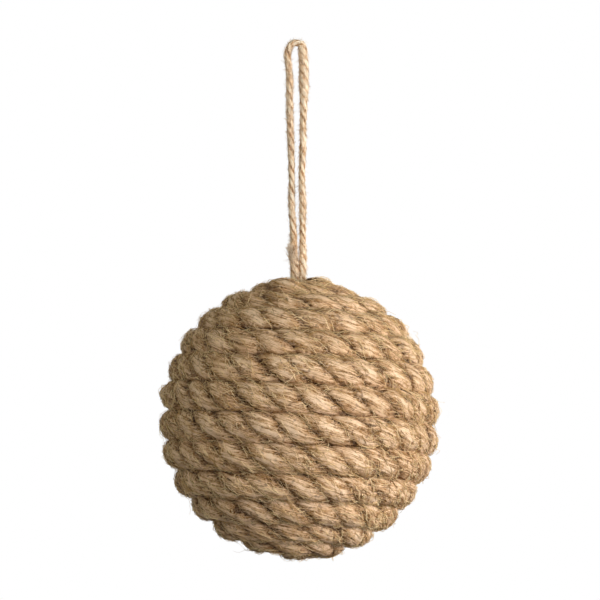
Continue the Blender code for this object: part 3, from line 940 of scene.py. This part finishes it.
def tuck(turns, plan_radius, full_lean, side):
    """A rope end: upright out of the foam, then bent over to lie on it. side is 1 at the top."""
    inward = Vector((0, 0, -side))
    foot = on_ball(turns, full_lean) + inward * TUCK_BEND
    points = [foot + inward * LEG_LENGTH * (1 - i / TUCK_POINTS) for i in range(TUCK_POINTS)]
    for i in range(TUCK_POINTS + 1):
        angle = math.pi / 2 * i / TUCK_POINTS
        along = TUCK_BEND * (1 - math.cos(angle)) / (math.tau * plan_radius)
        drop = TUCK_BEND * (1 - math.sin(angle))
        points.append(on_ball(turns + side * along, full_lean * math.cos(angle)) + inward * drop)
    return points


first_turn = TUCK_BEND / (math.tau * START_PLAN_RADIUS)
last_turn = TURNS - TUCK_BEND / (math.tau * END_PLAN_RADIUS)
winding_steps = round((last_turn - first_turn) * POINTS_PER_TURN)
first_tuck = tuck(0.0, START_PLAN_RADIUS, START_LEAN, 1)
last_tuck = tuck(TURNS, END_PLAN_RADIUS, END_LEAN, -1)[::-1]
wound = [first_turn + (last_turn - first_turn) * i / winding_steps for i in range(1, winding_steps)]
rope_line = first_tuck + [on_ball(turns) for turns in wound] + last_tuck
tuck_room = turn_form(0.0)[0]
rope_form = [(tuck_room, FIRST_TUCK_THICKNESS, 1.0)] * len(first_tuck)
rope_form += [turn_form(turns) for turns in wound]
rope_form += [(tuck_room, LAST_TUCK_THICKNESS, 1.0)] * len(last_tuck)
rope_length = length_of(rope_line)

ROPE_JUTE = jute("laid jute rope", "482A0C", "B08658", "F4D4B2", "CCB288", "583204")
rope_strands = []
for i in range(ROPE_STRANDS):
    strand = grown(
        f"rope_strand_{i + 1}",
        line_mesh("rope_line", rope_line, rope_form),
        LAID,
        {
            "Start": 0.0,
            "End": rope_length,
            "Strands": ROPE_STRANDS,
            "First": i,
            "Made": 1,
            "Rope Diameter": ROPE_DIAMETER,
            "Roundness": ROPE_ROUNDNESS,
            "Lay": ROPE_LAY,
            "Ridge Width": 1.6 * MM,
            "Ridge Depth": 1.2 * MM,
            "Lump Depth": 1.6 * MM,
            "Sway": 0.13,
            "Centre": BALL_CENTRE,
            "Bed Depth": ROPE_BED,
            "Softness": ROPE_SOFTNESS,
            "Rings": 2900,
            "Sides": 27,
            "Finish": ROPE_JUTE,
        },
    )
    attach(strand, "ball")
    rope_strands.append(strand)
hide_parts("rope_winding")

# Loose fibres of the rope: jute is never smooth. A short fuzz stands all over the strands,
# longer fibres lie matted along the turns, a few stray outwards and curl, and dark flecks of
# the plant's bark are left among them.
ROPE_FIBRE = loose_jute("loose rope fibre", "7C5A2C", "CCA46A", "FCE2B2")
ON_ROPE = {"Centre": BALL_CENTRE, "Finish": ROPE_FIBRE}
ROPE_FUZZ = {
    **ON_ROPE,
    "Least Facing": 0.1,
    "Density": 0.4 / MM**2,
    "Length": 2.4 * MM,
    "Spread": 0.45,
    "Follow": 0.1,
    "Lift": 0.5 * MM,
    "Bow": 0.0,
    "Curl": 0.6 * MM,
    "Curl Size": 1.5 * MM,
    "Ties": 0.7,
    "Thickness": 0.14 * MM,
    "Points": 3,
}
ROPE_HAIR = {
    **ON_ROPE,
    "Least Facing": 0.4,
    "Density": 0.18 / MM**2,
    "Length": 4.5 * MM,
    "Spread": 0.45,
    "Follow": 0.3,
    "Lift": 0.9 * MM,
    "Bow": 14.0,
    "Curl": 2.2 * MM,
    "Curl Size": 2.3 * MM,
    "Ties": 1.0,
    "Thickness": 0.17 * MM,
    "Points": 7,
}
ROPE_STRAY = {
    **ON_ROPE,
    "Least Facing": 0.3,
    "Density": 0.005 / MM**2,
    "Length": 7.0 * MM,
    "Spread": 0.9,
    "Follow": 0.5,
    "Lift": 1.6 * MM,
    "Bow": 0.0,
    "Curl": 5.0 * MM,
    "Curl Size": 3.5 * MM,
    "Ties": 0.6,
    "Thickness": 0.14 * MM,
    "Points": 12,
}
ROPE_BARK = {
    **ON_ROPE,
    "Least Facing": 0.5,
    "Density": 0.0016 / MM**2,
    "Length": 1.8 * MM,
    "Spread": 0.4,
    "Follow": 0.0,
    "Lift": 0.1 * MM,
    "Bow": 0.0,
    "Curl": 0.5 * MM,
    "Curl Size": 1.5 * MM,
    "Ties": 1.0,
    "Thickness": 0.7 * MM,
    "Points": 5,
    "Finish": loose_jute("jute bark", "2E1C0C", "4A3016", "6E4A24"),
}
LOOSE_KINDS = {"fuzz": ROPE_FUZZ, "hair": ROPE_HAIR, "stray": ROPE_STRAY, "bark": ROPE_BARK}
for i, strand in enumerate(rope_strands):
    for kind, values in LOOSE_KINDS.items():
        piece = loose_fibres(f"rope_{kind}_{i + 1}", strand, {**values, "Seed": i})
        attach(piece, "ball")

# The foam core: a ball of expanded polystyrene. Its beads are about 3 mm across, pressed
# together in the mould, white with a faint grey line where they meet.
BEAD_SIZE = 3.0 * MM
BEAD_DENT = 0.3 * MM
foam, beads, shader = new_material("expanded polystyrene foam")
cells = add(
    beads,
    "ShaderNodeTexVoronoi",
    {"Vector": add(beads, "ShaderNodeTexCoord").outputs["Object"], "Scale": 1 / BEAD_SIZE},
    feature="DISTANCE_TO_EDGE",
).outputs["Distance"]
shade = add(beads, "ShaderNodeValToRGB", {"Fac": cells}, stops=((0.0, "C4C4C0"), (0.12, "F2F2EE")))
dents = add(beads, "ShaderNodeBump", {"Height": cells, "Distance": BEAD_DENT})
beads.links.new(shade.outputs[0], shader.inputs["Base Color"])
beads.links.new(dents.outputs[0], shader.inputs["Normal"])
shader.inputs["Roughness"].default_value = 0.7
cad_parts["foam_core"].material_slots[0].material = foam

# The glue: hot-melt glue, cloudy and yellowish, run between the turns and over the knot. It
# sets with a smooth, wavy, half-gloss skin.
CLOUD_SIZE = 4.0 * MM
GLUE_WAVE = 0.4 * MM
glue, melt, shader = new_material("hot-melt glue")
cloud = add(
    melt,
    "ShaderNodeTexNoise",
    {"Vector": add(melt, "ShaderNodeTexCoord").outputs["Object"], "Scale": 1 / CLOUD_SIZE, "Detail": 2.0},
)
shade = add(melt, "ShaderNodeValToRGB", {"Fac": cloud}, stops=((0.35, "D8C394"), (0.65, "EFE3C4")))
waves = add(melt, "ShaderNodeBump", {"Height": cloud, "Distance": GLUE_WAVE})
melt.links.new(shade.outputs[0], shader.inputs["Base Color"])
melt.links.new(waves.outputs[0], shader.inputs["Normal"])
shader.inputs["Roughness"].default_value = 0.3
shader.inputs["Subsurface Weight"].default_value = 0.2
for node in ("glue_bead", "glue_plug"):
    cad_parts[node].material_slots[0].material = glue

# The floor, which stays with the stage: a pale, matt board well below the ball. The camera
# sees it nearly white, and it throws only a weak light up from below.
FLOOR_DROP = 230.0 * MM
FLOOR_HALF = 3.0
FLOOR_GLOW = 0.6
WHITE = (1.0, 1.0, 1.0, 1.0)
floor_height = cad_box[0].z - FLOOR_DROP
floor_mesh = bpy.data.meshes.new("floor")
floor_mesh.from_pydata(
    [(x * FLOOR_HALF, y * FLOOR_HALF, floor_height) for x, y in ((-1, -1), (1, -1), (1, 1), (-1, 1))],
    [],
    [(0, 1, 2, 3)],
)
floor = bpy.data.objects.new("floor", floor_mesh)
scene.collection.objects.link(floor)
floor_paint, paint, shader = new_material("white floor")
shown = add(
    paint,
    "ShaderNodeMix",
    {0: add(paint, "ShaderNodeLightPath"), 6: linear("3A3A3A"), 7: linear("F4F4F4")},
    data_type="RGBA",
)
glow = add(paint, MATH, {0: add(paint, "ShaderNodeLightPath"), 1: FLOOR_GLOW}, operation="MULTIPLY")
paint.links.new(shown.outputs[2], shader.inputs["Base Color"])
paint.links.new(glow.outputs[0], shader.inputs["Emission Strength"])
shader.inputs["Emission Color"].default_value = WHITE
floor_mesh.materials.append(floor_paint)

# The room round the ball: an even, weak light from all round, and a plain white ground to the
# camera.
FILL = (0.246, 0.264, 0.218, 1.0)
world = bpy.data.worlds.new("studio")
scene.world = world
world.use_nodes = True
sky = world.node_tree
rays = add(sky, "ShaderNodeLightPath").outputs
seen = add(sky, MATH, {0: rays["Is Camera Ray"], 1: rays["Is Glossy Ray"]}, operation="MAXIMUM")
seen = add(sky, MATH, {0: seen, 1: rays["Is Transmission Ray"]}, operation="MAXIMUM")
light = add(sky, "ShaderNodeMix", {0: seen, 6: FILL, 7: WHITE}, data_type="RGBA")
sky.links.new(light.outputs[2], sky.nodes["Background"].inputs["Color"])
sky.nodes["Background"].inputs["Strength"].default_value = 1.0

# The lamps: square and soft, a strong one on the right and in front, and weaker ones straight
# in front and behind. The camera doesn't see them.
LAMP_SIZE = 1.1
KEY_POWER = 31.0
KEY_COLOUR = (0.98, 0.96, 0.96)
KEY_PLACE = Vector((1.05, -0.58, -0.12))
FRONT_POWER = 9.2
WEAKER_COLOUR = (1.0, 0.99, 0.97)
FRONT_PLACE = Vector((-0.15, -1.3, -0.12))
BACK_POWER = 9.0
BACK_PLACE = Vector((0.15, 1.3, 0.1))
for name, power, colour, place in (
    ("key", KEY_POWER, KEY_COLOUR, KEY_PLACE),
    ("front", FRONT_POWER, WEAKER_COLOUR, FRONT_PLACE),
    ("back", BACK_POWER, WEAKER_COLOUR, BACK_PLACE),
):
    lamp = bpy.data.objects.new(name, bpy.data.lights.new(name, "AREA"))
    lamp.data.energy = power
    lamp.data.color = colour
    lamp.data.size = LAMP_SIZE
    lamp.visible_camera = False
    lamp.location = BALL_CENTRE + place
    lamp.rotation_mode = "QUATERNION"
    lamp.rotation_quaternion = (-place).to_track_quat("-Z", "Y")
    scene.collection.objects.link(lamp)

scene.view_settings.view_transform = "Standard"
